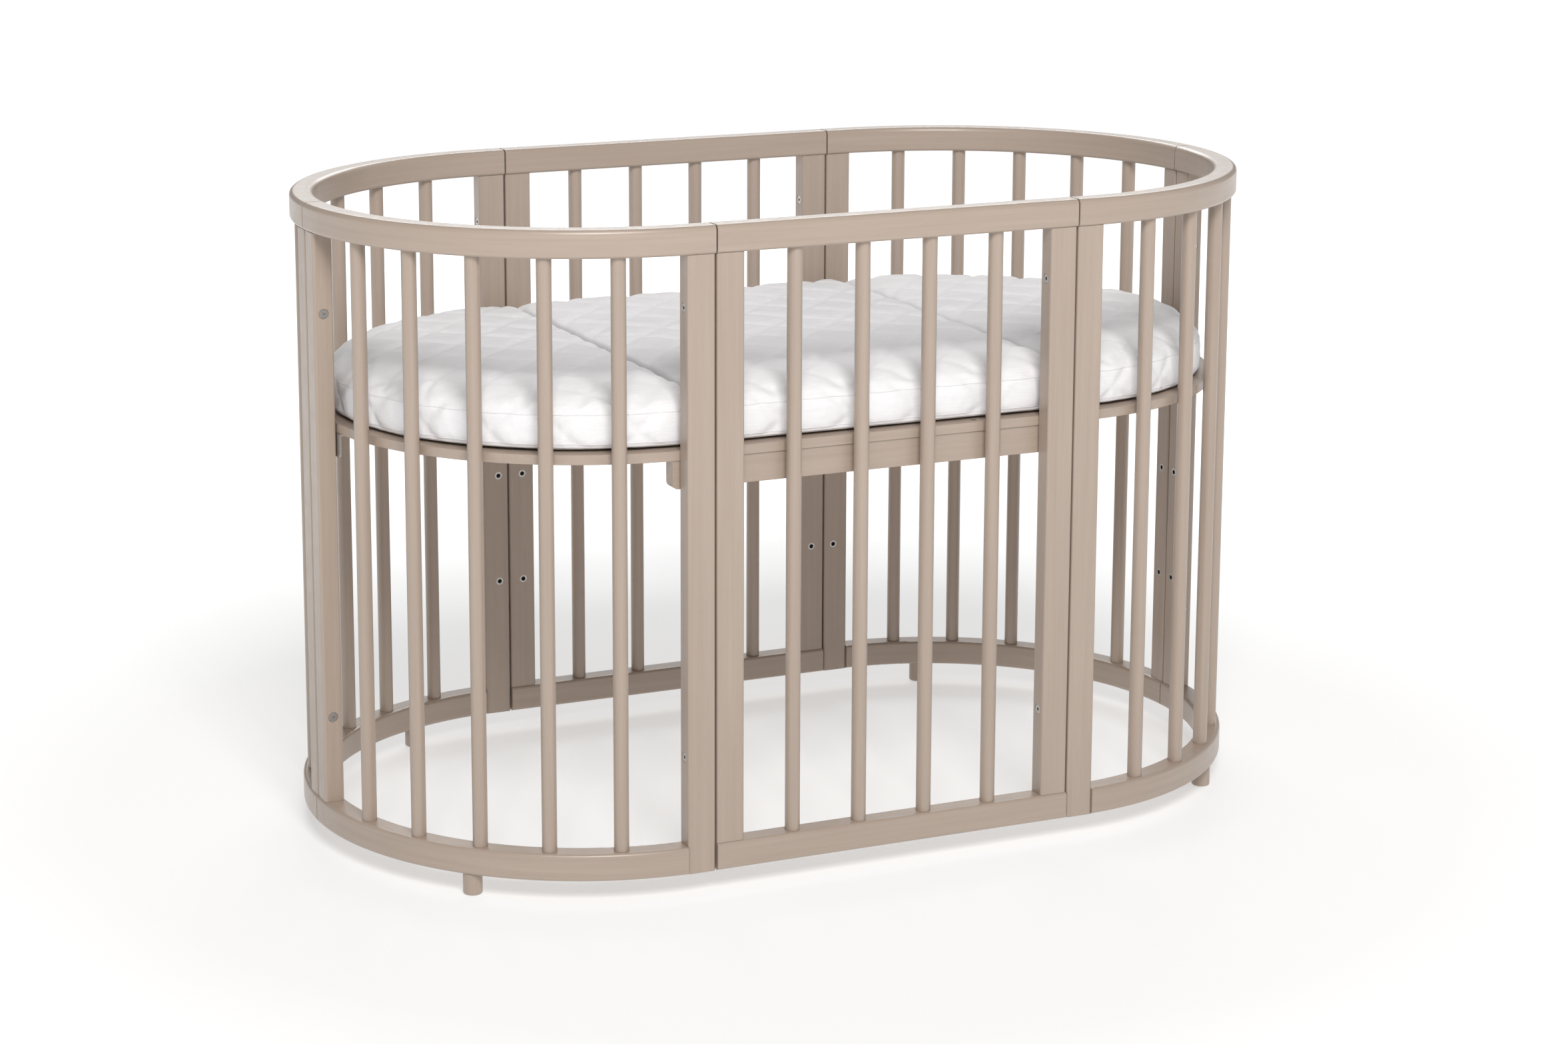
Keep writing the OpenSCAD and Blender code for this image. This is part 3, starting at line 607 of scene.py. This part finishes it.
def make_seam(name, which, cover, height, radius, thread):
    """A sewn line round the side of the cover: a thread that swells at each stitch."""
    mesh = bmesh.new()
    for points in seam_path(which, cover, height):
        if len(points) < SEAM_LEAST:
            continue
        rings = []
        for k, (place, out) in enumerate(points):
            size = radius * (1.0 if k % 2 else STITCH_THIN)
            ring = []
            for n in range(SEAM_SIDES):
                angle = 2.0 * math.pi * n / SEAM_SIDES
                ring.append(mesh.verts.new(
                    place + out * (size * math.cos(angle))
                    + Vector((0.0, 0.0, size * math.sin(angle)))))
            rings.append(ring)
        for one, two in zip(rings, rings[1:]):
            for n in range(SEAM_SIDES):
                m = (n + 1) % SEAM_SIDES
                mesh.faces.new((one[n], one[m], two[m], two[n]))
        mesh.faces.new(rings[0])
        mesh.faces.new(rings[-1])
    bmesh.ops.recalc_face_normals(mesh, faces=mesh.faces)
    data = bpy.data.meshes.new(name)
    mesh.to_mesh(data)
    mesh.free()
    piece = add_object(name, data)
    data.materials.append(thread)
    smooth(piece)
    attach(piece, "mattress_" + which)


# ---------- Mattress pieces ----------

CORE_INSET = 6.0 * MM
CORE_FACES = 0.2                                        # of the cover's


def make_core(which, cover, filling):
    """The foam block inside the cover."""
    core = add_object("mattress_foam_" + which, cover.data.copy())
    core.modifiers.new("fewer", "DECIMATE").ratio = CORE_FACES
    apply_modifiers(core)
    set_co(core.data, co_of(core.data) - vertex_normals(core.data) * CORE_INSET)
    core.data.materials.clear()
    core.data.materials.append(filling)
    smooth(core)
    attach(core, "mattress_" + which)
    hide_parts(f"mattress_{which}_core")


def make_mattress_piece(which, fabric, filling, thread):
    """A filled and quilted cover, the foam block in it and the seams on it."""
    from_x, to_x, sides = PIECES[which]
    piece = add_object("mattress_" + which, mattress_blank("mattress_" + which, SHRINK))
    cut_between(piece, None if from_x is None else from_x + SHRINK,
                None if to_x is None else to_x - SHRINK)
    remesh(piece, VOXEL)
    fill(piece)
    piece.modifiers.new("smooth", "SUBSURF").levels = 1
    apply_modifiers(piece)
    finish_cover(piece, from_x, to_x, sides)
    smooth(piece)
    piece.data.materials.clear()
    piece.data.materials.append(fabric)
    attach(piece, "mattress_" + which)
    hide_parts(f"mattress_{which}_cover")
    make_core(which, piece, filling)
    for line, (height, radius) in SEAMS.items():
        make_seam(f"mattress_{line}_{which}", which, piece, height, radius, thread)


# ---------- Frame ----------

def dress_frame():
    """Gives every hard node its material: each wooden one has its own grain."""
    metal = steel("steel")
    beech = bare_beech("beech")
    for number, (name, node) in enumerate(sorted(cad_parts.items())):
        if name.startswith("mattress"):
            continue
        if name == "post_dowels":
            material = beech
        elif name.endswith(("inserts", "bolts", "nuts", "screws", "bracket")):
            material = metal
        else:
            material = lacquer("lacquer_" + name, grain_of(name), GRAIN_STEP * number)
        node.data.materials.clear()
        node.data.materials.append(material)


# ---------- Floor, lights and camera ----------

FLOOR_HALF = 30.0
FLOOR_GLOW = 0.47                                       # near the crib
SWEEP_GLOW = 0.85                                       # keeps the floor white far from the lamp
GLOW_FROM = 0.9                                         # metres from the middle of the crib
GLOW_TO = 2.2


def make_floor():
    """A pale floor with painted light: it glows a little near the crib, which lifts its shadows, and
    more so far away, so that it fades into white.
    """
    mesh = bmesh.new()
    bmesh.ops.create_grid(mesh, x_segments=2, y_segments=2, size=FLOOR_HALF)
    data = bpy.data.meshes.new("floor")
    mesh.to_mesh(data)
    mesh.free()
    floor = add_object("floor", data)
    graph = Graph("floor")
    tone = graph.noise(graph.place(), 0.8, 2.0, 0.5)
    colour = graph.mix(graph.ramp(tone, 0.3, 0.7), rgb(0.54, 0.54, 0.54), rgb(0.56, 0.56, 0.56))
    graph.shade(Base_Color=colour, Roughness=0.9)
    graph.shader.inputs["Specular IOR Level"].default_value = 0.1
    # Painted light: the floor glows like a lamp, weaker near the crib and stronger far away.
    graph.shader.inputs["Emission Color"].default_value = rgb(1.0, 1.0, 1.0)
    away = graph.node("VectorMath", "Value", {0: graph.place()}, operation="LENGTH")
    graph.shade(Emission_Strength=graph.ramp(away, GLOW_FROM, GLOW_TO, FLOOR_GLOW, SWEEP_GLOW))
    data.materials.append(graph.material)


WORLD_STRENGTH = 0.30
LIGHTS_AIM = (0.0, 0.0, 0.45)


def area_light(name, place, size, power, colour=(1.0, 1.0, 1.0)):
    """A rectangular lamp, aimed at the crib. Size in metres, power in watts."""
    data = bpy.data.lights.new(name, "AREA")
    data.shape = "RECTANGLE"
    data.size, data.size_y = size
    data.energy = power
    data.color = colour
    light = bpy.data.objects.new(name, data)
    scene.collection.objects.link(light)
    light.location = place
    aim = Vector(LIGHTS_AIM) - Vector(place)
    light.rotation_euler = aim.to_track_quat("-Z", "Y").to_euler()


def make_lights():
    world = bpy.data.worlds.new("studio")
    world.use_nodes = True
    back = world.node_tree.nodes["Background"]
    back.inputs["Color"].default_value = rgb(1.0, 1.0, 1.0)
    back.inputs["Strength"].default_value = WORLD_STRENGTH
    scene.world = world
    area_light("key", (-1.6, -5.1, 5.05), (2.6, 2.6), 370.0, (1.0, 0.99, 0.975))
    area_light("gloss", (1.7, 3.9, 2.8), (3.4, 1.2), 80.0)


CAMERA_PLACE = (-1.8232, -3.9225, 1.4421)
CAMERA_YAW = math.radians(22.986)
CAMERA_PITCH = math.radians(11.432)
CAMERA_ROLL = math.radians(0.202)
CAMERA_LENS = 77.2257                                   # mm, on a sensor 36 mm wide
CAMERA_SHIFT = (0.079, -0.100)


def make_camera():
    data = bpy.data.cameras.new("camera")
    camera = bpy.data.objects.new("camera", data)
    scene.collection.objects.link(camera)
    data.sensor_width = 36.0
    data.lens = CAMERA_LENS
    data.shift_x, data.shift_y = CAMERA_SHIFT
    data.clip_end = 100.0
    turn = (Matrix.Rotation(-CAMERA_YAW, 4, "Z")
            @ Matrix.Rotation(math.pi / 2 - CAMERA_PITCH, 4, "X")
            @ Matrix.Rotation(-CAMERA_ROLL, 4, "Z"))
    camera.matrix_world = Matrix.Translation(CAMERA_PLACE) @ turn
    scene.camera = camera


# ---------- Build ----------

dress_frame()
fabric = cotton("quilted_cotton")
filling = foam("foam")
thread = cotton("cotton_thread", THREAD_TONE)
for which in PIECES:
    make_mattress_piece(which, fabric, filling, thread)
make_floor()
make_lights()
make_camera()
scene.view_settings.view_transform = "Standard"
